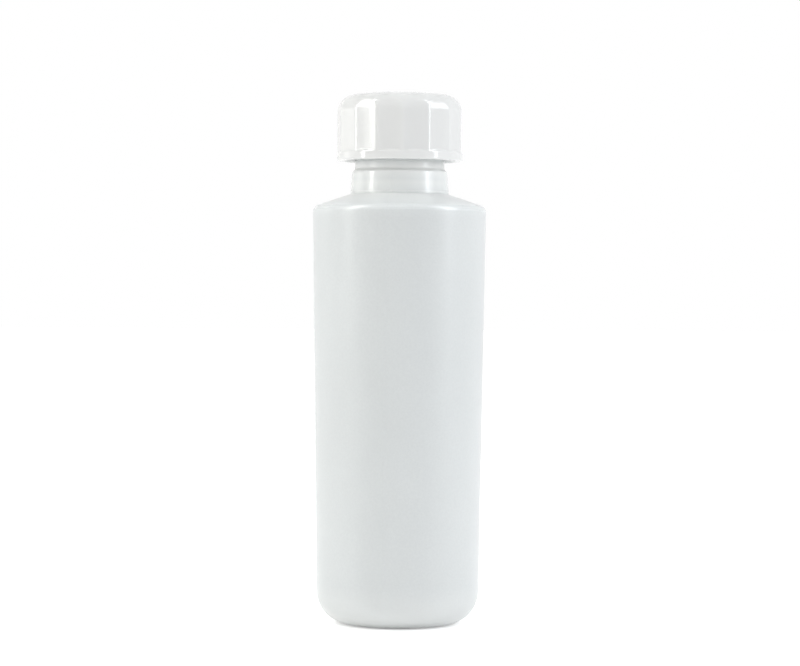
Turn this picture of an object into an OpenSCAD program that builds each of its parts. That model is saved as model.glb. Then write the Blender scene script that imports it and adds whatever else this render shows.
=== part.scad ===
// Child-resistant bottle: a blown bottle, and a push-and-turn closure of two caps, one inside the
// other, over a loose sealing disc. Sizes are in millimetres. The origin is the middle of the ring
// that the bottle stands on, +Z is up, and the front faces -Y.

/* [Bottle body] */
// Outside diameter where the sides would meet the shoulder
body_top_d = 49.7; // [46:0.1:56]
// Outside diameter where the sides would meet the base
body_base_d = 46.2; // [44:0.1:56]
// Height at which the sides would meet the shoulder
body_h = 119.5; // [90:0.5:160]
// Radius of the heel between the side and the base
heel_r = 9.5; // [6:0.5:12]
// Slope of the shoulder, in degrees
shoulder_angle = 18.5; // [10:0.5:35]
// Radius of the rounded shoulder edge
shoulder_r = 2; // [1:0.25:3]
// Thickness of the body's wall
body_wall = 1; // [0.7:0.05:1.4]
// Thickness of the base
base_wall = 1.3; // [0.9:0.1:2]
// Rise of the hollow under the base
push_up_h = 2.2; // [1:0.1:3.5]
// Width of the ring that the bottle stands on
standing_ring_w = 1.4; // [0.8:0.1:3]
// Turn of the plane where the two halves of the mould met, in degrees
seam_turn = 80; // [0:5:175]
// Length of the pinched seam across the hollow under the base
pinch_l = 22; // [12:1:24]
// Width of the pinched seam
pinch_w = 0.7; // [0.5:0.1:1.2]
// Height of the pinched seam
pinch_h = 0.3; // [0.2:0.05:0.6]

/* [Neck] */
// Diameter of the finish at the root of its thread
finish_d = 25.6; // [22:0.1:30]
// Height of the finish, from the collar to the rim
finish_h = 15.7; // [15:0.1:18]
// Thickness of the finish's wall
finish_wall = 1.9; // [1.4:0.05:2.4]
// Width of the step from the finish out to the collar
collar_step_w = 0.8; // [0.4:0.1:1.4]
// Height of that sloping step
collar_step_h = 0.7; // [0.4:0.1:1.2]
// Widening of the collar's radius on the way down to the shoulder
collar_flare = 0.5; // [0:0.1:1.5]
// Height of the collar
collar_h = 6.4; // [4:0.1:9]
// Radius of the collar's rounded top edge, and of the hollow corner above it
collar_edge_r = 0.8; // [0.3:0.1:1]
// Thickness of the collar's wall
collar_wall = 1.6; // [1.2:0.1:1.9]

/* [Thread] */
// Rise of the thread in one turn
thread_pitch = 4.2333; // [3.8:0.01:4.5]
// Height of the bottle's thread above the finish
thread_depth = 0.9; // [0.7:0.05:1]
// Width of a thread along its crest
thread_crest_w = 1.1; // [0.8:0.05:1.2]
// Slope of a thread's flanks, in degrees
thread_flank = 31; // [25:1:38]
// Turns of thread on the bottle
bottle_turns = 1.5; // [1:0.25:1.75]
// Turns of thread in the inner cap
cap_turns = 1.25; // [1:0.25:1.5]
// Distance from the rim down to the upper end of the bottle's thread
thread_drop = 2.3; // [2:0.1:3]
// Place of the threads' lower ends about the axis, in degrees
thread_start = 255; // [0:5:355]
// Gap between the loaded flanks of the two threads
flank_gap = 0.12; // [0.08:0.01:0.2]
// Gap between a crest and the wall that it faces
crest_gap = 0.3; // [0.2:0.05:0.4]

/* [Sealing disc] */
// Thickness of the disc
liner_t = 1; // [0.6:0.1:1.6]
// Gap between the disc's edge and the inner cap
liner_gap = 0.2; // [0.1:0.05:0.3]

/* [Inner cap] */
// Thickness of the inner cap's skirt
inner_wall = 1.2; // [1:0.05:1.4]
// Thickness of the inner cap's top
inner_top_t = 1.3; // [1.2:0.1:1.8]
// Radius of the inner cap's top edge
inner_edge_r = 1; // [0.5:0.1:1.1]
// Reach of the flange round the skirt's lower edge
flange_w = 0.8; // [0.6:0.05:1]
// Height of the flange
flange_h = 1.2; // [0.8:0.1:2]

/* [Drive lugs] */
// Number of drive lugs on each cap
lug_count = 12; // [8:1:14]
// Height of a drive lug
lug_h = 1; // [0.8:0.05:1.2]
// Width of a drive lug at its foot
lug_w = 1.7; // [1.2:0.1:1.8]
// Width of the ramp on the side of a lug that slips
lug_ramp = 0.5; // [0.2:0.1:0.7]
// Length of a drive lug along the radius
lug_l = 3.5; // [2.5:0.1:4]
// Gap between the two rings of lugs until the cap is pushed
lug_gap = 0.2; // [0.15:0.05:0.3]
// Gap left under the lugs when the cap is pushed home
home_gap = 0.1; // [0.05:0.01:0.12]

/* [Spring] */
// Number of spring fingers on the inner cap
finger_count = 8; // [6:2:12]
// Thickness of a spring finger
finger_t = 0.65; // [0.5:0.05:0.9]
// Width of the slots between the fingers
finger_slot_w = 0.8; // [0.5:0.1:1.2]
// Width of the groove in which the fingers flex
finger_groove_w = 0.8; // [0.5:0.1:1.2]
// Radius of the cone that spreads the fingers, at its foot
cone_r = 4.75; // [4:0.05:5.5]
// Length of the cone
cone_h = 1.5; // [1.3:0.05:1.6]
// Slope of the cone's side, in degrees
cone_angle = 20; // [10:1:30]
// Thickness of the cone's wall
cone_wall = 1.1; // [0.8:0.1:1.5]

/* [Outer cap] */
// Thickness of the outer cap's wall at its flats
cap_wall = 1.34; // [1:0.02:2]
// Height of the outer cap
cap_h = 19.8; // [18.5:0.1:21]
// Radius of the rounded top edge
cap_edge_r = 5.1; // [4:0.1:5.4]
// Rise of the middle of the cap's top
crown_h = 0.65; // [0.3:0.05:1.2]
// Thickness of the cap's top
cap_top_t = 1.3; // [1:0.1:1.5]
// Number of flats round the cap
flat_count = 15; // [12:1:20]
// Depth of the flats below the round
flat_depth = 0.36; // [0.2:0.02:0.5]
// Radius by which each flat bends in over the rounded top edge
flat_bend_r = 7; // [6:0.1:12]
// Turn of the flats about the axis, in degrees
flat_turn = 2.8; // [0:0.2:24]
// Height of the round band under the flats
band_h = 2.2; // [1:0.1:4]
// Height of the ramp from the band in to the flats
ramp_h = 0.6; // [0.3:0.1:1.5]
// Gap between the flange and the outer cap's wall
bore_gap = 0.3; // [0.2:0.05:0.4]
// Radius inside the outer cap's top corner
inside_edge_r = 3.2; // [2.6:0.1:3.5]
// Reach of the snap bead in under the flange
bead_w = 0.8; // [0.6:0.05:1]
// Height of the snap bead
bead_h = 1; // [0.8:0.1:1.5]
// Gap between the snap bead and the flange
bead_gap = 0.1; // [0.05:0.01:0.2]

/* [Hidden] */
$fn = 96;
arc_step = 7.5;
thread_steps = 36;
fade_angle = 35;
bury = 0.45;
lap = 0.05;
edge_r = 0.3;

bottle_colour = [0.86, 0.89, 0.9];
liner_colour = [0.95, 0.95, 0.93];
inner_cap_colour = [0.9, 0.9, 0.88];
outer_cap_colour = [0.96, 0.97, 0.96];

body_top_r = body_top_d / 2;
body_base_r = body_base_d / 2;
ring_inner_r = body_base_r - heel_r - standing_ring_w;
finish_r = finish_d / 2;
mouth_r = finish_r - finish_wall;
collar_top_r = finish_r + collar_step_w;
collar_base_r = collar_top_r + collar_flare;
collar_z = body_h + (body_top_r - collar_base_r) * tan(shoulder_angle);
collar_top_z = collar_z + collar_h;
finish_z = collar_top_z + collar_step_h;
rim_z = finish_z + finish_h;

crest_r = finish_r + thread_depth;
cap_crest_r = finish_r + crest_gap;
inner_bore_r = crest_r + crest_gap;
engaged_depth = crest_r - cap_crest_r;
bottle_thread_z = rim_z - thread_drop - bottle_turns * thread_pitch;
cap_thread_z = bottle_thread_z - thread_crest_w - engaged_depth * tan(thread_flank) - flank_gap;

liner_r = inner_bore_r - liner_gap;
inner_ceiling_z = rim_z + liner_t;
inner_top_z = inner_ceiling_z + inner_top_t;
inner_skirt_r = inner_bore_r + inner_wall;
flange_r = inner_skirt_r + flange_w;

push_travel = lug_h + lug_gap - home_gap;
ceiling_z = inner_top_z + 2 * lug_h + lug_gap;
cap_top_z = ceiling_z + cap_top_t + crown_h;
cap_bottom_z = cap_top_z - cap_h;
cap_bore_r = flange_r + bore_gap;
flat_r = cap_bore_r + cap_wall;
cap_r = flat_r + flat_depth;
inner_bottom_z = cap_bottom_z + bead_h + bead_gap;
lug_outer_r = cap_bore_r - inside_edge_r;
lug_inner_r = lug_outer_r - lug_l;
lug_root_r = lug_outer_r + sqrt(inside_edge_r ^ 2 - (inside_edge_r - lug_h) ^ 2) + lap;
crown_r = cap_r - cap_edge_r - 1;
crown_slope = asin(crown_r / crown_sphere(crown_r, crown_h));
corner_z = cap_top_z - crown_h - (cap_r - crown_r) * tan(crown_slope);

finger_r = cone_r + home_gap;
groove_r = finger_r + finger_t + finger_groove_w;
groove_z = inner_top_z - (cone_h + lug_gap - push_travel);

function unit(v) = v / norm(v);

// Points of the arc of radius r that rounds the corner b between a and c
function corner_arc(a, b, c, r) =
    let (
        u = unit(a - b),
        v = unit(c - b),
        half = acos(u * v) / 2,
        centre = b + unit(u + v) * r / sin(half),
        first = b + u * r / tan(half) - centre,
        last = b + v * r / tan(half) - centre,
        start = atan2(first.y, first.x),
        raw = atan2(last.y, last.x) - start,
        turn = raw > 180 ? raw - 360 : raw < -180 ? raw + 360 : raw,
        steps = max(2, ceil(abs(turn) / arc_step))
    )
    [for (i = [0 : steps]) centre + r * [cos(start + turn * i / steps), sin(start + turn * i / steps)]];

// Outline through corners given as [distance from the axis, height, corner radius]
function rounded(corners) =
    let (
        n = len(corners),
        at = function (i) [corners[(i + n) % n].x, corners[(i + n) % n].y]
    )
    [
        for (i = [0 : n - 1])
            each corners[i].z == 0 ? [at(i)] : corner_arc(at(i - 1), at(i), at(i + 1), corners[i].z)
    ];

// Radius of the sphere that a crown of radius r and the given rise is cut from
function crown_sphere(r, rise) = (r * r + rise * rise) / (2 * rise);

// Corners of a crown, from the middle at height z + rise out to radius r at height z
function crown(r, rise, z) =
    let (
        sphere_r = crown_sphere(r, rise),
        reach = asin(r / sphere_r),
        steps = ceil(reach / (arc_step / 3))
    )
    [
        for (i = [0 : steps])
            let (angle = reach * i / steps)
            [sphere_r * sin(angle), z + rise - sphere_r * (1 - cos(angle)), 0]
    ];

function backwards(list) = [for (i = [len(list) - 1 : -1 : 0]) list[i]];

// Helical thread on a wall of radius root_r, outward where side is 1 and inward where it is -1
module thread(root_r, depth, side, turns, z) {
    steps = ceil(turns * thread_steps);
    crest_half = thread_crest_w / 2;
    root_half = crest_half + (depth + bury) * tan(thread_flank);
    points = [
        for (i = [0 : steps])
            let (
                angle = i * turns * 360 / steps,
                fade = min(1, min(angle, turns * 360 - angle) / fade_angle),
                crest = root_r + side * ((depth + bury / 2) * fade - bury / 2),
                root = root_r - side * bury,
                around = [cos(thread_start + angle), sin(thread_start + angle)],
                mid_z = z + thread_pitch * angle / 360
            )
            each [
                [root * around.x, root * around.y, mid_z - root_half],
                [crest * around.x, crest * around.y, mid_z - crest_half],
                [crest * around.x, crest * around.y, mid_z + crest_half],
                [root * around.x, root * around.y, mid_z + root_half]
            ]
    ];
    strips = [
        for (i = [0 : steps - 1], k = [0 : 3])
            [4 * i + k, 4 * i + (k + 1) % 4, 4 * i + 4 + (k + 1) % 4, 4 * i + 4 + k]
    ];
    ends = [[3, 2, 1, 0], [for (k = [0 : 3]) 4 * steps + k]];
    faces = concat(strips, ends);
    polyhedron(points, side > 0 ? faces : [for (f = faces) backwards(f)]);
}

// One drive lug, standing on z = 0 at angle 0, with its ramp on the clockwise side
module drive_lug(length) {
    translate([lug_inner_r, 0, 0])
        rotate([90, 0, 90])
            linear_extrude(length)
                polygon([
                    [-lug_w / 2, -lap],
                    [lug_w / 2, -lap],
                    [lug_w / 2, lug_h],
                    [lug_ramp - lug_w / 2, lug_h]
                ]);
}

module bottle() {
    outside = concat(
        crown(ring_inner_r, push_up_h, 0),
        [
            [body_base_r, 0, heel_r],
            [body_top_r, body_h, shoulder_r],
            [collar_base_r, collar_z, edge_r],
            [collar_top_r, collar_top_z, collar_edge_r],
            [finish_r, finish_z, collar_edge_r],
            [finish_r, rim_z, edge_r]
        ]
    );
    inside = concat(
        crown(ring_inner_r, push_up_h, base_wall),
        [
            [body_base_r - body_wall, base_wall, heel_r - body_wall],
            [body_top_r - body_wall, body_h - body_wall, shoulder_r],
            [collar_base_r - collar_wall, collar_z - body_wall, edge_r],
            [collar_top_r - collar_wall, collar_top_z - collar_step_h, edge_r],
            [mouth_r, finish_z, edge_r],
            [mouth_r, rim_z, edge_r]
        ]
    );
    color(bottle_colour) {
        rotate_extrude() polygon(rounded(concat(outside, backwards(inside))));
        thread(finish_r, thread_depth, 1, bottle_turns, bottle_thread_z);
        pinched_seam();
    }
}

// Seam left across the hollow under the base where the mould pinched the tube shut
module pinched_seam() {
    intersection() {
        rotate_extrude()
            polygon(rounded(concat(
                crown(ring_inner_r, push_up_h, -pinch_h),
                [[ring_inner_r, base_wall / 2, 0], [0, push_up_h + base_wall / 2, 0]]
            )));
        rotate(seam_turn)
            translate([-pinch_l / 2, -pinch_w / 2, 0])
                cube([pinch_l, pinch_w, push_up_h + base_wall]);
    }
}

module liner() {
    color(liner_colour) translate([0, 0, rim_z]) cylinder(h = liner_t, r = liner_r);
}

module inner_cap() {
    section = [
        [0, groove_z, 0],
        [groove_r, groove_z, 0],
        [groove_r, inner_top_z, 0],
        [inner_skirt_r, inner_top_z, inner_edge_r],
        [inner_skirt_r, inner_bottom_z + flange_h, 0],
        [flange_r, inner_bottom_z + flange_h, edge_r],
        [flange_r, inner_bottom_z, 0],
        [inner_bore_r, inner_bottom_z, edge_r],
        [inner_bore_r, inner_ceiling_z, 0],
        [0, inner_ceiling_z, 0]
    ];
    color(inner_cap_colour) {
        rotate_extrude() polygon(rounded(section));
        thread(inner_bore_r, inner_bore_r - cap_crest_r, -1, cap_turns, cap_thread_z);
        for (i = [0 : lug_count - 1])
            rotate(i * 360 / lug_count) translate([0, 0, inner_top_z]) drive_lug(lug_l);
        spring_fingers();
    }
}

// Ring of upright fingers round the cone of the outer cap
module spring_fingers() {
    difference() {
        translate([0, 0, groove_z - lap])
            rotate_extrude()
                translate([finger_r, 0]) square([finger_t, inner_top_z + lug_h - groove_z + lap]);
        for (i = [0 : finger_count - 1])
            rotate((i + 0.5) * 360 / finger_count)
                translate([0, -finger_slot_w / 2, groove_z])
                    cube([finger_r + finger_t + lap, finger_slot_w, lug_h + cone_h]);
    }
}

module outer_cap() {
    color(outer_cap_colour) {
        difference() {
            cap_outside();
            cap_hollow();
        }
        for (i = [0 : lug_count - 1])
            rotate((i + 0.5) * 360 / lug_count)
                translate([0, 0, ceiling_z])
                    rotate([180, 0, 0])
                        drive_lug(lug_root_r - lug_inner_r);
        spring_cone();
    }
}

// Round cap with a rounded top edge, cut by the flats down to the ramp over the plain band
module cap_outside() {
    round_section = concat(
        crown(crown_r, crown_h, cap_top_z - crown_h),
        [[cap_r, corner_z, cap_edge_r], [cap_r, cap_bottom_z, edge_r], [0, cap_bottom_z, 0]]
    );
    difference() {
        rotate_extrude() polygon(rounded(round_section));
        difference() {
            for (i = [0 : flat_count - 1])
                rotate(flat_turn - 90 + (i + 0.5) * 360 / flat_count) flat_cut();
            cap_ramp();
        }
    }
}

// What one flat takes away, at angle 0: upright, then bent in over the top edge
module flat_cut() {
    low = cap_bottom_z + band_h / 2;
    high = corner_z - cap_edge_r / tan((90 + crown_slope) / 2) + flat_bend_r - lap;
    rotate([90, 0, 0])
        linear_extrude(2 * cap_r * tan(180 / flat_count), center = true)
            polygon(rounded([
                [flat_r, low, 0],
                [flat_r, high, flat_bend_r],
                [flat_r - flat_bend_r - lap, high, 0],
                [flat_r - flat_bend_r - lap, high + lap, 0],
                [cap_r + lap, high + lap, 0],
                [cap_r + lap, low, 0]
            ]));
}

// Plain band of the cap, with the ramp that leads from it in to the flats
module cap_ramp() {
    ramp_z = cap_bottom_z + band_h;
    rotate_extrude()
        polygon([
            [0, cap_bottom_z],
            [cap_r + 2 * lap, cap_bottom_z],
            [cap_r + 2 * lap, ramp_z - 2 * ramp_h * lap / flat_depth],
            [flat_r - lap, ramp_z + ramp_h * (flat_depth + lap) / flat_depth],
            [0, ramp_z + ramp_h * (flat_depth + lap) / flat_depth]
        ]);
}

// Space inside the outer cap, narrowed at its mouth by the snap bead
module cap_hollow() {
    bead_r = cap_bore_r - bead_w;
    rotate_extrude()
        polygon(rounded([
            [0, cap_bottom_z - lap, 0],
            [cap_bore_r, cap_bottom_z - lap, 0],
            [bead_r, cap_bottom_z + bead_h * 2 / 3, 0],
            [bead_r, cap_bottom_z + bead_h, 0],
            [cap_bore_r, cap_bottom_z + bead_h, 0],
            [cap_bore_r, ceiling_z, inside_edge_r],
            [0, ceiling_z, 0]
        ]));
}

// Cone under the middle of the top, which spreads the spring fingers
module spring_cone() {
    tip_r = cone_r - cone_h * tan(cone_angle);
    rotate_extrude()
        polygon([
            [cone_r, ceiling_z + lap],
            [cone_r, ceiling_z],
            [tip_r, ceiling_z - cone_h],
            [tip_r - cone_wall, ceiling_z - cone_h],
            [tip_r - cone_wall, ceiling_z + lap]
        ]);
}

bottle();
liner();
inner_cap();
outer_cap();
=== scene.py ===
"""Looks of the child-resistant bottle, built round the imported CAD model.

The meshes are drawn in millimetres, in the frame of the CAD model, and brought to metres when
each piece is finished. Every piece is drawn where it stands, so no object is moved or turned.
"""

import math

import bmesh
import bpy
from mathutils import Matrix, Vector, noise


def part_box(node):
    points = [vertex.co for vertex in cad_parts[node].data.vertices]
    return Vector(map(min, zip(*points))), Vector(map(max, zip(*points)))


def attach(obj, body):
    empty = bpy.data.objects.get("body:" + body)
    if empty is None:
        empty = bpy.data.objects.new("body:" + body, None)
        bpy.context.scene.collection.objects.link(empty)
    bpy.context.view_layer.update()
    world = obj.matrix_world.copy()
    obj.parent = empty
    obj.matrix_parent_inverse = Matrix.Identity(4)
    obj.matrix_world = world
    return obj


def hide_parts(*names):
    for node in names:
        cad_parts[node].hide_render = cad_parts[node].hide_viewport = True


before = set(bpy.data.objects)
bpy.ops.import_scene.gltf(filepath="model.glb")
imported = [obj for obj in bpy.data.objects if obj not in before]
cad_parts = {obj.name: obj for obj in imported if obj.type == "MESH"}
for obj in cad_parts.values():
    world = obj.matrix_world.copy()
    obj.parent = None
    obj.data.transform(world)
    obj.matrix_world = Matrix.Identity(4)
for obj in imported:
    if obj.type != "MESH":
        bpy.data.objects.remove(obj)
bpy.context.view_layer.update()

MM = 0.001
AXIS = (0, 0, 1)

# Lengths are in millimetres, down to the camera. Joined parts run into each other by LAP.
LAP = 0.05
SMALL_EDGE = 0.3
FINE_EDGE = 0.12

# Bottle
BODY_TOP_R = 24.85
BODY_BASE_R = 23.1
HEEL_R = 9.5
SHOULDER_SLOPE = math.radians(18.5)
SHOULDER_R = 2.0
BODY_WALL = 1.0
BASE_WALL = 1.3
PUSH_UP_H = 2.2
STANDING_RING_W = 1.4
FINISH_R = 12.8
FINISH_H = 15.7
FINISH_WALL = 1.9
COLLAR_TOP_R = 13.6
COLLAR_BASE_R = 14.1
COLLAR_H = 6.4
COLLAR_STEP_H = 0.7
COLLAR_WALL = 1.6
COLLAR_EDGE_R = 0.8
SEAM_TURN = math.radians(80)

# Thread
PITCH = 4.2333
THREAD_DEPTH = 0.9
CREST_W = 1.1
FLANK = math.radians(31)
BOTTLE_TURNS = 1.5
CAP_TURNS = 1.25
THREAD_DROP = 2.3
THREAD_START = math.radians(255)
FLANK_GAP = 0.12
CREST_GAP = 0.3
THREAD_BURY = 0.35
THREAD_FADE = math.radians(35)
THREAD_STEPS_A_TURN = 48

# Inner cap
INNER_BORE_R = 14.0
INNER_SKIRT_R = 15.2
INNER_TOP_T = 1.3
INNER_EDGE_R = 1.0
FLANGE_R = 16.0
FLANGE_H = 1.2
LUGS = 12
LUG_H = 1.0
LUG_W = 1.7
LUG_RAMP = 0.5
LUG_INNER_R = 9.6
LUG_OUTER_R = 13.1
FINGERS = 8
FINGER_R = 4.85
FINGER_T = 0.65
FINGER_SLOT_W = 0.8
GROOVE_R = 6.3
GROOVE_DROP = 0.6
LINER_PLAY = 0.2

# Outer cap
CAP_R = 18.0
FLAT_R = 17.64
FLATS = 15
FLAT_TURN = math.radians(2.8 - 90)
FLAT_BEND_R = 7.0
BAND_H = 2.2
RAMP_H = 0.6
CAP_EDGE_R = 5.1
CROWN_R = 11.9
CROWN_H = 0.65
CAP_TOP_T = 1.3
CAP_BORE_R = 16.3
BEAD_R = 15.5
BEAD_H = 1.0
INSIDE_EDGE_R = 3.2
CONE_R = 4.75
CONE_TIP_R = 4.2
CONE_HOLLOW_R = 3.1
CONE_H = 1.5

# Red, green and blue light spread alike in the plastics
EVEN_RADIUS = (1.0, 1.0, 1.0)

# Camera, fitted to the photograph: lens and sensor in millimetres, its place in metres
LENS = 125.26
SENSOR_W = 36
LENS_SHIFT = 0.0014
CAMERA_PLACE = (0, -0.799, 0.0955)
CAMERA_DOWN = math.radians(0.8716)
CAMERA_ROLL = math.radians(0.32)

# Light: the even room, the floor, then lamps as name, turn, distance, height, width, tallness,
# watts and colour, with lengths in metres and turns in degrees from the camera's side
ROOM_LIGHT = 0.69
WHITE = (1, 1, 1, 1)
FLOOR_COLOUR = (0.96, 0.96, 0.96, 1)
FLOOR_GLOW = 0.38
FLOOR_REACH = 6
LAMPS = (
    ("left_strip", -71.0, 0.9, 0.93, 0.11, 1.54, 4.9, (1.0, 1.0, 0.95)),
    ("right_strip", 69.5, 0.9, 0.93, 0.11, 1.54, 4.7, (0.92, 0.96, 1.0)),
    ("left_top", -74, 0.9, 1.25, 0.22, 0.9, 3.7, (1.0, 1.0, 0.98)),
    ("right_top", 80, 0.9, 0.75, 0.16, 0.9, 1.9, (0.95, 0.97, 1.0)),
    ("left_wall", -113, 1.2, 0.24, 0.4, 0.2, 0.22, (1.0, 1.0, 0.94)),
)

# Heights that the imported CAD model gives, and measures that follow from them
RIM_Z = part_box("bottle")[1].z / MM
LINER_Z, INNER_CEILING_Z = (corner.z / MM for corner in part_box("liner"))
INNER_BOTTOM_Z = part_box("inner_cap")[0].z / MM
CAP_BOTTOM_Z, CAP_TOP_Z = (corner.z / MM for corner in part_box("outer_cap"))
INNER_TOP_Z = INNER_CEILING_Z + INNER_TOP_T
CEILING_Z = CAP_TOP_Z - CROWN_H - CAP_TOP_T
FINISH_Z = RIM_Z - FINISH_H
COLLAR_TOP_Z = FINISH_Z - COLLAR_STEP_H
COLLAR_Z = COLLAR_TOP_Z - COLLAR_H
BODY_H = COLLAR_Z - (BODY_TOP_R - COLLAR_BASE_R) * math.tan(SHOULDER_SLOPE)
THREAD_Z = RIM_Z - THREAD_DROP - BOTTLE_TURNS * PITCH
PUSH_UP_R = BODY_BASE_R - HEEL_R - STANDING_RING_W


def dome_radius(radius, rise):
    """Radius of the sphere that a shallow dome is cut from."""
    return (radius**2 + rise**2) / (2 * rise)


def crown(radius, rise, z, pieces=8):
    """Corners of a shallow dome, from its middle at z + rise out to the radius at z."""
    sphere_r = dome_radius(radius, rise)
    reach = math.asin(radius / sphere_r)
    turns = [reach * i / pieces for i in range(pieces + 1)]
    return [(sphere_r * math.sin(a), z + rise - sphere_r * (1 - math.cos(a)), 0) for a in turns]


def round_corner(bm, vert, radius, arc_row):
    """Rounds one corner of a flat section with an arc cut into pieces about arc_row long."""
    first, second = (edge.other_vert(vert).co - vert.co for edge in vert.link_edges)
    half_turn = (math.pi - first.angle(second)) / 2
    segments = max(3, math.ceil(2 * half_turn * radius / arc_row))
    bmesh.ops.bevel(
        bm,
        geom=[vert],
        offset=radius * math.tan(half_turn),
        offset_type="OFFSET",
        segments=segments,
        profile=0.5,
        affect="VERTICES",
        clamp_overlap=False,
        material=-1,
    )


def spin_section(bm, corners, columns, row_at, arc_row=0.8, start=0.0):
    """Turns the section whose corners are (radius, height, rounding) about the upright axis.

    row_at gives the longest row at a height, and arc_row the length of a row on rounded corners.
    """
    section = [bm.verts.new((r, 0, z)) for r, z, _ in corners]
    face = bm.faces.new(section)
    for vert, (_, _, rounding) in zip(section, corners):
        if rounding:
            round_corner(bm, vert, rounding, arc_row)
    bmesh.ops.delete(bm, geom=[f for f in bm.faces], context="FACES_ONLY")
    on_axis = [e for e in bm.edges if all(v.co.x < LAP / 10 for v in e.verts)]
    bmesh.ops.delete(bm, geom=on_axis, context="EDGES")
    for edge in bm.edges[:]:
        row = row_at((edge.verts[0].co.z + edge.verts[1].co.z) / 2)
        cuts = math.ceil(edge.calc_length() / row) - 1
        if cuts:
            bmesh.ops.subdivide_edges(bm, edges=[edge], cuts=cuts)
    bmesh.ops.rotate(bm, verts=bm.verts[:], matrix=Matrix.Rotation(start, 3, "Z"))
    bmesh.ops.spin(
        bm,
        geom=bm.verts[:] + bm.edges[:],
        axis=AXIS,
        angle=2 * math.pi,
        steps=columns,
        use_merge=True,
    )
    bmesh.ops.remove_doubles(bm, verts=bm.verts[:], dist=LAP / 10)
    bmesh.ops.recalc_face_normals(bm, faces=bm.faces[:])


def add_part(bm, part):
    """Puts a part that was drawn by itself into a piece's mesh."""
    bmesh.ops.recalc_face_normals(part, faces=part.faces[:])
    mesh = bpy.data.meshes.new("part")
    part.to_mesh(mesh)
    part.free()
    bm.from_mesh(mesh)
    bpy.data.meshes.remove(mesh)


def ring_of(part, count):
    """Repeats a part round the axis."""
    bmesh.ops.spin(
        part,
        geom=part.verts[:] + part.edges[:] + part.faces[:],
        axis=AXIS,
        angle=2 * math.pi * (count - 1) / count,
        steps=count - 1,
        use_duplicate=True,
    )


def helix(root_r, depth, side, turns, z):
    """Sweeps a thread's section up its helix and lets both of its ends run out."""
    steps = math.ceil(turns * THREAD_STEPS_A_TURN)
    crest_r, foot_r = root_r + side * depth, root_r - side * THREAD_BURY
    foot_w = CREST_W + 2 * (depth + THREAD_BURY) * math.tan(FLANK)
    part = bmesh.new()
    section = [
        part.verts.new((foot_r, 0, z - foot_w / 2)),
        part.verts.new((crest_r, 0, z - CREST_W / 2)),
        part.verts.new((crest_r, 0, z + CREST_W / 2)),
        part.verts.new((foot_r, 0, z + foot_w / 2)),
    ]
    loop = [part.edges.new((section[i], section[(i + 1) % 4])) for i in range(4)]
    bmesh.ops.rotate(part, verts=section, matrix=Matrix.Rotation(THREAD_START, 3, "Z"))
    bmesh.ops.spin(
        part,
        geom=section + loop,
        axis=AXIS,
        dvec=(0, 0, PITCH * turns / steps),
        angle=turns * 2 * math.pi,
        steps=steps,
    )
    for count, vert in enumerate(part.verts):
        turn = (count // 4) * turns * 2 * math.pi / steps
        run_out = 1 - min(1, min(turn, turns * 2 * math.pi - turn) / THREAD_FADE)
        if abs(math.hypot(vert.co.x, vert.co.y) - crest_r) < LAP:
            reach = crest_r - side * (depth + THREAD_BURY / 2) * run_out
            vert.co.xy = vert.co.xy.normalized() * reach
    bmesh.ops.holes_fill(part, edges=part.edges[:], sides=4)
    return part


def drive_lugs(z, upward, first_turn, outer_r):
    """Ring of drive lugs, out to outer_r, each with a ramp on the side that slips."""
    height = LUG_H + LAP
    part = bmesh.new()
    lug = bmesh.ops.create_cube(part, size=1)["verts"]
    for vert in lug:
        if vert.co.y < 0 and vert.co.z > 0:
            vert.co.y += LUG_RAMP / LUG_W
    middle = ((outer_r + LUG_INNER_R) / 2, 0, height / 2 - LAP)
    bmesh.ops.scale(part, verts=lug, vec=(outer_r - LUG_INNER_R, LUG_W, height))
    bmesh.ops.translate(part, verts=lug, vec=middle)
    bmesh.ops.bevel(
        part,
        geom=part.edges[:],
        offset=FINE_EDGE,
        segments=2,
        profile=0.5,
        affect="EDGES",
        material=-1,
    )
    place = Matrix.Translation((0, 0, z)) @ Matrix.Rotation(first_turn, 4, "Z")
    if not upward:
        place = place @ Matrix.Rotation(math.pi, 4, "X")
    bmesh.ops.transform(part, matrix=place, verts=part.verts[:])
    ring_of(part, LUGS)
    return part


def piece(name, bm, material, body, node):
    """Finishes a mesh as the object that stands for one CAD node."""
    bmesh.ops.scale(bm, verts=bm.verts[:], vec=(MM, MM, MM))
    for face in bm.faces:
        face.smooth = True
    mesh = bpy.data.meshes.new(name)
    bm.to_mesh(mesh)
    bm.free()
    mesh.set_sharp_from_angle(angle=math.radians(40))
    obj = bpy.data.objects.new(name, mesh)
    bpy.context.scene.collection.objects.link(obj)
    obj.data.materials.append(material)
    weighted = obj.modifiers.new("flat_faces", "WEIGHTED_NORMAL")
    weighted.keep_sharp = True
    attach(obj, body)
    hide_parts(node)
    return obj


def on_outer_skin(face):
    """Whether a face of the bottle looks away from its middle."""
    return face.normal.dot(face.calc_center_median()) > 0


def uneven_wall(bm):
    """Gives the blown wall its slow waves. They die out towards the base and the shoulder."""
    depth, wave, fade = 0.1, 26.0, 12
    fine_share, fine_turns = 0.4, 2.3
    low, high = HEEL_R, BODY_H - SHOULDER_R
    for vert in bm.verts:
        z = vert.co.z
        if low < z < high:
            calm = min(1.0, (z - low) / fade, (high - z) / fade)
            place = vert.co / wave
            wall = noise.noise(place) + fine_share * noise.noise(place * fine_turns)
            vert.co.xy -= vert.co.xy.normalized() * depth * calm * (0.5 + wall / 2)


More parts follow.
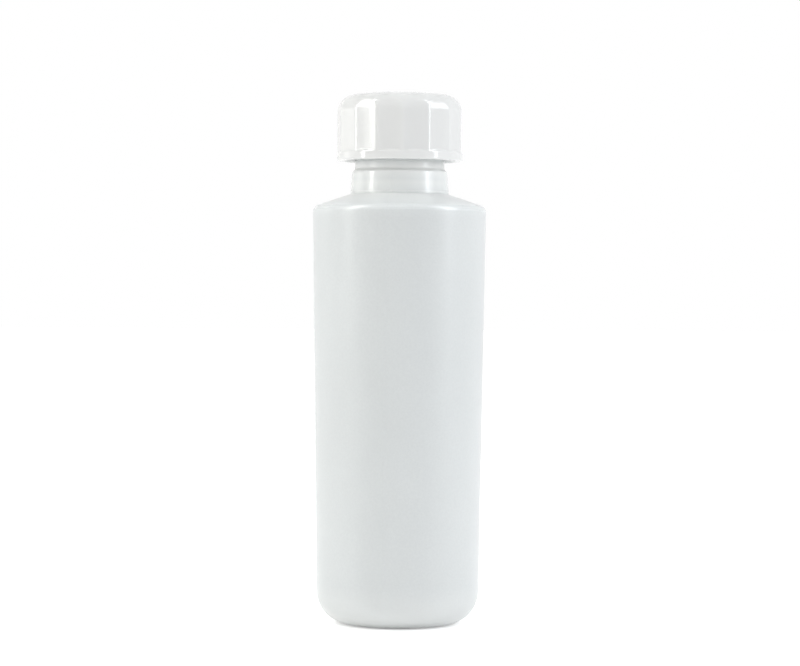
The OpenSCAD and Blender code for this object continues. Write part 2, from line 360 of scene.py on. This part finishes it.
def raise_seam(bm, low, high):
    """Raises the fine line where the two halves of the mould met, on both sides."""
    half_w, height, cut_w = 0.2, 0.06, 1.5
    across = Vector((-math.sin(SEAM_TURN), math.cos(SEAM_TURN), 0))
    for offset in (-half_w, 0.0, half_w):
        near = [
            f
            for f in bm.faces
            if on_outer_skin(f)
            and low < f.calc_center_median().z < high
            and abs(f.calc_center_median().dot(across)) < cut_w
        ]
        geom = near + list({e for f in near for e in f.edges} | {v for f in near for v in f.verts})
        bmesh.ops.bisect_plane(
            bm, geom=geom, dist=LAP / 50, plane_co=across * offset, plane_no=across
        )
    line = {
        v
        for f in bm.faces
        if on_outer_skin(f)
        for v in f.verts
        if abs(v.co.dot(across)) < LAP / 10 and low < v.co.z < high
    }
    moves = [(v, v.normal * height) for v in line]
    for vert, move in moves:
        vert.co += move


def pinched_seam():
    """Ridge across the hollow under the base, where the mould pinched the tube shut."""
    length, width, height, foot = 22.0, 0.7, 0.3, 0.4
    sphere_r = dome_radius(PUSH_UP_R, PUSH_UP_H)
    part = bmesh.new()
    bmesh.ops.create_cube(part, size=1)
    bmesh.ops.scale(part, verts=part.verts[:], vec=(length, width, height + foot))
    long_edges = [e for e in part.edges if e.calc_length() > length / 2]
    bmesh.ops.subdivide_edges(part, edges=long_edges, cuts=round(length) - 1)
    for vert in part.verts:
        ceiling = PUSH_UP_H - sphere_r + math.sqrt(sphere_r**2 - vert.co.x**2)
        vert.co.z += ceiling - (height - foot) / 2
    bmesh.ops.rotate(part, verts=part.verts[:], matrix=Matrix.Rotation(SEAM_TURN, 3, "Z"))
    return part


def make_bottle(material):
    """One blown shell, outside and inside, with its thread, mould line and pinched seam."""
    mouth_r = FINISH_R - FINISH_WALL
    outside = crown(PUSH_UP_R, PUSH_UP_H, 0) + [
        (BODY_BASE_R, 0, HEEL_R),
        (BODY_TOP_R, BODY_H, SHOULDER_R),
        (COLLAR_BASE_R, COLLAR_Z, SMALL_EDGE),
        (COLLAR_TOP_R, COLLAR_TOP_Z, COLLAR_EDGE_R),
        (FINISH_R, FINISH_Z, COLLAR_EDGE_R),
        (FINISH_R, RIM_Z, SMALL_EDGE),
    ]
    inside = crown(PUSH_UP_R, PUSH_UP_H, BASE_WALL) + [
        (BODY_BASE_R - BODY_WALL, BASE_WALL, HEEL_R - BODY_WALL),
        (BODY_TOP_R - BODY_WALL, BODY_H - BODY_WALL, SHOULDER_R),
        (COLLAR_BASE_R - COLLAR_WALL, COLLAR_Z - BODY_WALL, SMALL_EDGE),
        (COLLAR_TOP_R - COLLAR_WALL, COLLAR_TOP_Z - COLLAR_STEP_H, SMALL_EDGE),
        (mouth_r, FINISH_Z, SMALL_EDGE),
        (mouth_r, RIM_Z, SMALL_EDGE),
    ]
    bm = bmesh.new()
    spin_section(bm, outside + inside[::-1], columns=180, row_at=lambda z: 2.5)
    uneven_wall(bm)
    bm.normal_update()
    raise_seam(bm, HEEL_R / 2, COLLAR_TOP_Z - SMALL_EDGE)
    add_part(bm, helix(FINISH_R, THREAD_DEPTH, 1, BOTTLE_TURNS, THREAD_Z))
    add_part(bm, pinched_seam())
    return piece("blown_bottle", bm, material, "bottle", "bottle")


def soft_min(a, b, blend):
    """The lesser of two radii, with a rounded passage from one to the other."""
    h = max(blend - abs(a - b), 0) / blend
    return min(a, b) - h * h * blend / 4


def soft_max(a, b, blend):
    """The greater of two radii, with a rounded passage."""
    return -soft_min(-a, -b, blend)


def cut_flats(bm, bend_z):
    """Cuts the flats into the round side. Above bend_z they bend in over its rounded top edge."""
    edge, foot, hollow, band_lift = 0.08, 0.06, 0.04, 0.02
    share = 2 * math.pi / FLATS
    for vert in bm.verts:
        r = math.hypot(vert.co.x, vert.co.y)
        up = vert.co.z - CAP_BOTTOM_Z
        above = max(0, vert.co.z - bend_z)
        inside = vert.co.z < CEILING_Z and r < CAP_BORE_R + LAP
        if inside or r < LUG_OUTER_R or up < BAND_H / 2 or above > FLAT_BEND_R:
            continue
        turn = (math.atan2(vert.co.y, vert.co.x) - FLAT_TURN) % share
        aside = (turn - share / 2) / (share / 2)
        bend = FLAT_BEND_R - math.sqrt(FLAT_BEND_R**2 - above**2)
        flat = (FLAT_R - bend) / math.cos(turn - share / 2) - hollow * (1 - aside**2)
        ramp = CAP_R + band_lift - (up - BAND_H) * (CAP_R - FLAT_R) / RAMP_H
        reach = soft_min(r, soft_max(ramp, flat, foot), edge)
        vert.co.xy *= reach / r


def make_outer_cap(material):
    """Faceted outer shell with its drive lugs, cone and snap bead."""
    top = CAP_TOP_Z - CROWN_H
    slope = math.asin(CROWN_R / dome_radius(CROWN_R, CROWN_H))
    corner_z = top - (CAP_R - CROWN_R) * math.tan(slope)
    fine_z = CAP_BOTTOM_Z + BAND_H + 2 * RAMP_H
    section = crown(CROWN_R, CROWN_H, top) + [
        (CAP_R, corner_z, CAP_EDGE_R),
        (CAP_R, fine_z, 0),
        (CAP_R, CAP_BOTTOM_Z, SMALL_EDGE),
        (CAP_BORE_R, CAP_BOTTOM_Z, SMALL_EDGE / 2),
        (BEAD_R, CAP_BOTTOM_Z + BEAD_H * 2 / 3, 0),
        (BEAD_R, CAP_BOTTOM_Z + BEAD_H, 0),
        (CAP_BORE_R, CAP_BOTTOM_Z + BEAD_H, 0),
        (CAP_BORE_R, CEILING_Z, INSIDE_EDGE_R),
        (CONE_R, CEILING_Z, 0),
        (CONE_TIP_R, CEILING_Z - CONE_H, 0),
        (CONE_HOLLOW_R, CEILING_Z - CONE_H, 0),
        (CONE_HOLLOW_R, CEILING_Z, 0),
        (0, CEILING_Z, 0),
    ]
    bm = bmesh.new()
    spin_section(
        bm,
        section,
        columns=24 * FLATS,
        row_at=lambda z: 0.15 if z < fine_z else 3.0,
        arc_row=0.17,
        start=FLAT_TURN,
    )
    cut_flats(bm, corner_z - CAP_EDGE_R / math.tan((math.pi / 2 + slope) / 2))
    lug_reach = LUG_OUTER_R + math.sqrt(INSIDE_EDGE_R**2 - (INSIDE_EDGE_R - LUG_H) ** 2) + LAP
    add_part(bm, drive_lugs(CEILING_Z, False, math.pi / LUGS, lug_reach))
    return piece("faceted_cap", bm, material, "outer_cap", "outer_cap")


def spring_fingers(low, high):
    """Upright fingers round the cone, with slots between them."""
    share = 2 * math.pi / FINGERS
    slot = FINGER_SLOT_W / FINGER_R
    part = bmesh.new()
    corners = ((0, low), (FINGER_T, low), (FINGER_T, high), (0, high))
    section = [part.verts.new((FINGER_R + out, 0, z)) for out, z in corners]
    loop = [part.edges.new((section[k], section[(k + 1) % 4])) for k in range(4)]
    turn = Matrix.Rotation((slot - share) / 2, 3, "Z")
    bmesh.ops.rotate(part, verts=section, matrix=turn)
    bmesh.ops.spin(part, geom=section + loop, axis=AXIS, angle=share - slot, steps=10)
    bmesh.ops.holes_fill(part, edges=part.edges[:], sides=4)
    ring_of(part, FINGERS)
    return part


def make_inner_cap(material):
    """Threaded inner shell with its flange, drive lugs and spring fingers."""
    groove_z = INNER_TOP_Z - GROOVE_DROP
    section = [
        (0, groove_z, 0),
        (GROOVE_R, groove_z, 0),
        (GROOVE_R, INNER_TOP_Z, 0),
        (INNER_SKIRT_R, INNER_TOP_Z, INNER_EDGE_R),
        (INNER_SKIRT_R, INNER_BOTTOM_Z + FLANGE_H, 0),
        (FLANGE_R, INNER_BOTTOM_Z + FLANGE_H, SMALL_EDGE),
        (FLANGE_R, INNER_BOTTOM_Z, 0),
        (INNER_BORE_R, INNER_BOTTOM_Z, SMALL_EDGE),
        (INNER_BORE_R, INNER_CEILING_Z, 0),
        (0, INNER_CEILING_Z, 0),
    ]
    bm = bmesh.new()
    spin_section(bm, section, columns=180, row_at=lambda z: 1.5)
    crest_r = FINISH_R + THREAD_DEPTH
    cap_crest_r = FINISH_R + CREST_GAP
    drop = CREST_W + (crest_r - cap_crest_r) * math.tan(FLANK) + FLANK_GAP
    depth = INNER_BORE_R - cap_crest_r
    add_part(bm, helix(INNER_BORE_R, depth, -1, CAP_TURNS, THREAD_Z - drop))
    add_part(bm, drive_lugs(INNER_TOP_Z, True, 0, LUG_OUTER_R))
    add_part(bm, spring_fingers(groove_z - LAP, INNER_TOP_Z + LUG_H))
    return piece("threaded_cap", bm, material, "inner_cap", "inner_cap")


def make_liner(material):
    """Loose disc of foam."""
    radius, thickness = INNER_BORE_R - LINER_PLAY, INNER_CEILING_Z - LINER_Z
    bm = bmesh.new()
    bmesh.ops.create_cone(
        bm,
        cap_ends=True,
        segments=120,
        radius1=radius,
        radius2=radius,
        depth=thickness,
        matrix=Matrix.Translation((0, 0, LINER_Z + thickness / 2)),
    )
    rims = [e for e in bm.edges if abs(e.verts[0].co.z - e.verts[1].co.z) < LAP]
    bmesh.ops.bevel(
        bm, geom=rims, offset=FINE_EDGE, segments=3, profile=0.5, affect="EDGES", material=-1
    )
    return piece("foam_disc", bm, material, "disc", "liner")


class Finish:
    """A plastic as one Principled shader, with patterns laid over the object's own coordinates."""

    def __init__(self, name):
        self.material = bpy.data.materials.new(name)
        self.material.use_nodes = True
        self.nodes = self.material.node_tree.nodes
        self.links = self.material.node_tree.links
        self.shader = self.nodes["Principled BSDF"]
        self.place = self.nodes.new("ShaderNodeTexCoord").outputs["Object"]

    def constants(self, values):
        """Sets the shader's own sockets."""
        for name, value in values.items():
            self.shader.inputs[name].default_value = value

    def clouds(self, scale, detail=3.0, stretch=(1, 1, 1)):
        """Soft noise from 0 to 1, with features about 1 / scale metres across."""
        mapping = self.nodes.new("ShaderNodeMapping")
        mapping.inputs["Scale"].default_value = stretch
        self.links.new(self.place, mapping.inputs["Vector"])
        pattern = self.nodes.new("ShaderNodeTexNoise")
        pattern.inputs["Scale"].default_value = scale
        pattern.inputs["Detail"].default_value = detail
        self.links.new(mapping.outputs["Vector"], pattern.inputs["Vector"])
        return pattern.outputs["Fac"]

    def height(self, low, high):
        """0 at the low height and 1 at the high one, in millimetres. Low may be the upper one."""
        axes = self.nodes.new("ShaderNodeSeparateXYZ")
        self.links.new(self.place, axes.inputs["Vector"])
        return self.spread(axes.outputs["Z"], 0, 1, low * MM, high * MM)

    def near(self, level, reach):
        """1 at a height, fading to 0 within the reach above and below it, in millimetres."""
        up = self.height(level - reach, level)
        node = self.nodes.new("ShaderNodeMath")
        node.operation = "SUBTRACT"
        self.links.new(up, node.inputs[0])
        self.links.new(self.height(level, level + reach), node.inputs[1])
        return node.outputs[0]

    def cells(self, scale):
        """Distance from the middle of small cells."""
        pattern = self.nodes.new("ShaderNodeTexVoronoi")
        pattern.inputs["Scale"].default_value = scale
        self.links.new(self.place, pattern.inputs["Vector"])
        return pattern.outputs["Distance"]

    def spread(self, pattern, low, high, start=0.3, end=0.7):
        """The pattern's values from start to end, spread over low to high."""
        node = self.nodes.new("ShaderNodeMapRange")
        limits = {"From Min": start, "From Max": end, "To Min": low, "To Max": high}
        for name, value in limits.items():
            node.inputs[name].default_value = value
        self.links.new(pattern, node.inputs["Value"])
        return node.outputs["Result"]

    def between(self, factor, first, second):
        """A colour between two, by the factor."""
        node = self.nodes.new("ShaderNodeMix")
        node.data_type = "RGBA"
        self.links.new(factor, node.inputs["Factor"])
        for socket, colour in ((node.inputs["A"], first), (node.inputs["B"], second)):
            if isinstance(colour, tuple):
                socket.default_value = (*colour, 1)
            else:
                self.links.new(colour, socket)
        return node.outputs["Result"]

    def mixed(self, factor, value, other):
        """A pattern that turns into one value, by the factor."""
        node = self.nodes.new("ShaderNodeMix")
        self.links.new(factor, node.inputs["Factor"])
        self.links.new(value, node.inputs["A"])
        node.inputs["B"].default_value = other
        return node.outputs["Result"]

    def bumps(self, *layers):
        """Fine relief. Each layer is a pattern with its depth in metres."""
        below = None
        for pattern, depth in layers:
            node = self.nodes.new("ShaderNodeBump")
            node.inputs["Strength"].default_value = 1
            node.inputs["Distance"].default_value = depth
            self.links.new(pattern, node.inputs["Height"])
            if below:
                self.links.new(below, node.inputs["Normal"])
            below = node.outputs["Normal"]
        self.links.new(below, self.shader.inputs["Normal"])

    def drive(self, name, output):
        """Lets a pattern set one of the shader's sockets."""
        self.links.new(output, self.shader.inputs[name])


def natural_plastic():
    """Milky blown polyethylene: satin, a little see-through, with faint clouds, a fine grain and
    painted light in paler bands.
    """
    finish = Finish("natural_plastic")
    clouds = finish.spread(finish.clouds(45, 3, (1, 1, 0.45)), 0, 1)
    base = finish.between(clouds, (0.69, 0.722, 0.725), (0.72, 0.752, 0.755))
    grain = finish.spread(finish.clouds(1600, 2), 0, 0.3)
    base = finish.between(grain, base, (0.62, 0.65, 0.66))
    # Painted light: the heel, the shoulder, the collar and the step above it, where the wall is
    # thick, are painted paler to lift the shade near the floor and under the cap.
    painted_light_pale = (0.78, 0.80, 0.79)
    base = finish.between(finish.height(12, 0), base, painted_light_pale)
    # Painted light: the shoulder band is painted paler.
    base = finish.between(finish.near(BODY_H + 3, 3), base, (0.75, 0.77, 0.765))
    base = finish.between(finish.near(COLLAR_Z + 3, 4), base, painted_light_pale)
    # Painted light: the step above the collar, in the cap's shade, is painted near white.
    base = finish.between(finish.near(FINISH_Z, 3), base, (0.9, 0.91, 0.9))
    finish.drive("Base Color", base)
    # The neck and the edge of the shoulder, pressed against the mould, are glossier.
    satin = finish.spread(finish.clouds(120, 4), 0.31, 0.36)
    neck = finish.mixed(finish.height(COLLAR_Z, COLLAR_Z + 1), satin, 0.26)
    finish.drive("Roughness", finish.mixed(finish.near(BODY_H - 0.5, 2), neck, 0.25))
    milky = finish.spread(finish.clouds(30, 2), 0.45, 0.55)
    finish.drive("Subsurface Weight", finish.mixed(finish.near(FINISH_Z, 6), milky, 0.25))
    finish.constants(
        {
            "IOR": 1.54,
            "Specular IOR Level": 0.8,
            "Subsurface Scale": 0.005,
            "Subsurface Radius": EVEN_RADIUS,
        }
    )
    finish.bumps((finish.clouds(260, 2), 0.00003), (finish.clouds(1400, 2), 0.000006))
    return finish.material


def cap_plastic():
    """Gloss white moulded plastic."""
    finish = Finish("cap_plastic")
    clouds = finish.spread(finish.clouds(60, 3), 0, 1)
    finish.drive("Base Color", finish.between(clouds, (0.72, 0.725, 0.72), (0.74, 0.745, 0.74)))
    finish.drive("Roughness", finish.spread(finish.clouds(300, 4), 0.1, 0.15))
    finish.constants(
        {
            "IOR": 1.5,
            "Specular IOR Level": 0.7,
            "Subsurface Weight": 0.5,
            "Subsurface Scale": 0.003,
            "Subsurface Radius": EVEN_RADIUS,
        }
    )
    finish.bumps((finish.clouds(220, 2), 0.00002), (finish.clouds(1600, 2), 0.000004))
    return finish.material


def inner_cap_plastic():
    """Semi-gloss moulded plastic, a little warmer and duller than the outer cap."""
    finish = Finish("inner_cap_plastic")
    clouds = finish.spread(finish.clouds(80, 3), 0, 1)
    finish.drive("Base Color", finish.between(clouds, (0.70, 0.70, 0.68), (0.73, 0.73, 0.71)))
    finish.drive("Roughness", finish.spread(finish.clouds(260, 4), 0.34, 0.42))
    finish.constants({"IOR": 1.5})
    finish.bumps((finish.clouds(400, 2), 0.00002), (finish.clouds(1800, 2), 0.000005))
    return finish.material


def foam():
    """Closed-cell foam with a fine pitted skin."""
    finish = Finish("foam")
    cells = finish.cells(2200)
    tone = finish.spread(cells, 0, 1, 0.1, 0.6)
    finish.drive("Base Color", finish.between(tone, (0.68, 0.68, 0.65), (0.80, 0.80, 0.78)))
    finish.drive("Roughness", finish.spread(finish.clouds(500, 3), 0.75, 0.88))
    finish.bumps((finish.clouds(300, 2), 0.00003), (cells, 0.00004))
    return finish.material


def empty_tree(owner):
    """Node tree of a material or world, cleared for nodes of its own."""
    owner.use_nodes = True
    tree = owner.node_tree
    tree.nodes.clear()
    return tree


def background_rays(tree):
    """1 for the rays that show the background: to the camera, in gloss and through glass."""
    rays = tree.nodes.new("ShaderNodeLightPath")
    factor = rays.outputs["Is Camera Ray"]
    for name in ("Is Glossy Ray", "Is Transmission Ray"):
        either = tree.nodes.new("ShaderNodeMath")
        either.operation = "MAXIMUM"
        tree.links.new(factor, either.inputs[0])
        tree.links.new(rays.outputs[name], either.inputs[1])
        factor = either.outputs[0]
    return factor


def make_floor():
    """White floor that keeps the object's soft shadow."""
    bm = bmesh.new()
    bmesh.ops.create_grid(bm, x_segments=1, y_segments=1, size=FLOOR_REACH)
    mesh = bpy.data.meshes.new("floor")
    bm.to_mesh(mesh)
    bm.free()
    floor = bpy.data.objects.new("floor", mesh)
    bpy.context.scene.collection.objects.link(floor)
    material = bpy.data.materials.new("floor")
    tree = empty_tree(material)
    diffuse = tree.nodes.new("ShaderNodeBsdfDiffuse")
    diffuse.inputs["Color"].default_value = FLOOR_COLOUR
    glow = tree.nodes.new("ShaderNodeEmission")
    glow.inputs["Strength"].default_value = FLOOR_GLOW
    seen = tree.nodes.new("ShaderNodeMixShader")
    both = tree.nodes.new("ShaderNodeAddShader")
    out = tree.nodes.new("ShaderNodeOutputMaterial")
    tree.links.new(diffuse.outputs[0], both.inputs[0])
    tree.links.new(glow.outputs[0], both.inputs[1])
    tree.links.new(background_rays(tree), seen.inputs[0])
    tree.links.new(diffuse.outputs[0], seen.inputs[1])
    tree.links.new(both.outputs[0], seen.inputs[2])
    tree.links.new(seen.outputs[0], out.inputs["Surface"])
    floor.data.materials.append(material)


def make_world():
    """White behind the object, and an even light of its own strength all round it."""
    world = bpy.data.worlds.new("world")
    bpy.context.scene.world = world
    tree = empty_tree(world)
    seen = tree.nodes.new("ShaderNodeBackground")
    seen.inputs["Color"].default_value = WHITE
    lit = tree.nodes.new("ShaderNodeBackground")
    lit.inputs["Color"].default_value = WHITE
    lit.inputs["Strength"].default_value = ROOM_LIGHT
    mix = tree.nodes.new("ShaderNodeMixShader")
    out = tree.nodes.new("ShaderNodeOutputWorld")
    tree.links.new(background_rays(tree), mix.inputs[0])
    tree.links.new(lit.outputs[0], mix.inputs[1])
    tree.links.new(seen.outputs[0], mix.inputs[2])
    tree.links.new(mix.outputs[0], out.inputs["Surface"])


def soft_box(name, turn, distance, height, width, tall, power, colour):
    """Upright area light. The turn is measured from the camera's side, positive to the right."""
    data = bpy.data.lights.new(name, "AREA")
    data.shape = "RECTANGLE"
    data.size, data.size_y = width, tall
    data.energy = power
    data.color = colour
    lamp = bpy.data.objects.new(name, data)
    bpy.context.scene.collection.objects.link(lamp)
    angle = math.radians(turn - 90)
    place = Vector((distance * math.cos(angle), distance * math.sin(angle), height))
    aim = Vector((0, 0, height)) - place
    lamp.rotation_mode = "QUATERNION"
    lamp.rotation_quaternion = aim.to_track_quat("-Z", "Y")
    lamp.location = place


def make_camera():
    """The fitted camera of the photograph."""
    data = bpy.data.cameras.new("camera")
    data.sensor_width = SENSOR_W
    data.lens = LENS
    data.shift_x = LENS_SHIFT
    data.clip_start = 0.01
    camera = bpy.data.objects.new("camera", data)
    bpy.context.scene.collection.objects.link(camera)
    tilt = Matrix.Rotation(math.pi / 2 - CAMERA_DOWN, 4, "X")
    tilt = tilt @ Matrix.Rotation(CAMERA_ROLL, 4, "Z")
    camera.matrix_world = Matrix.Translation(CAMERA_PLACE) @ tilt
    bpy.context.scene.camera = camera


make_bottle(natural_plastic())
make_liner(foam())
make_inner_cap(inner_cap_plastic())
make_outer_cap(cap_plastic())

make_floor()
make_world()
for lamp in LAMPS:
    soft_box(*lamp)
make_camera()

bpy.context.scene.view_settings.view_transform = "Standard"
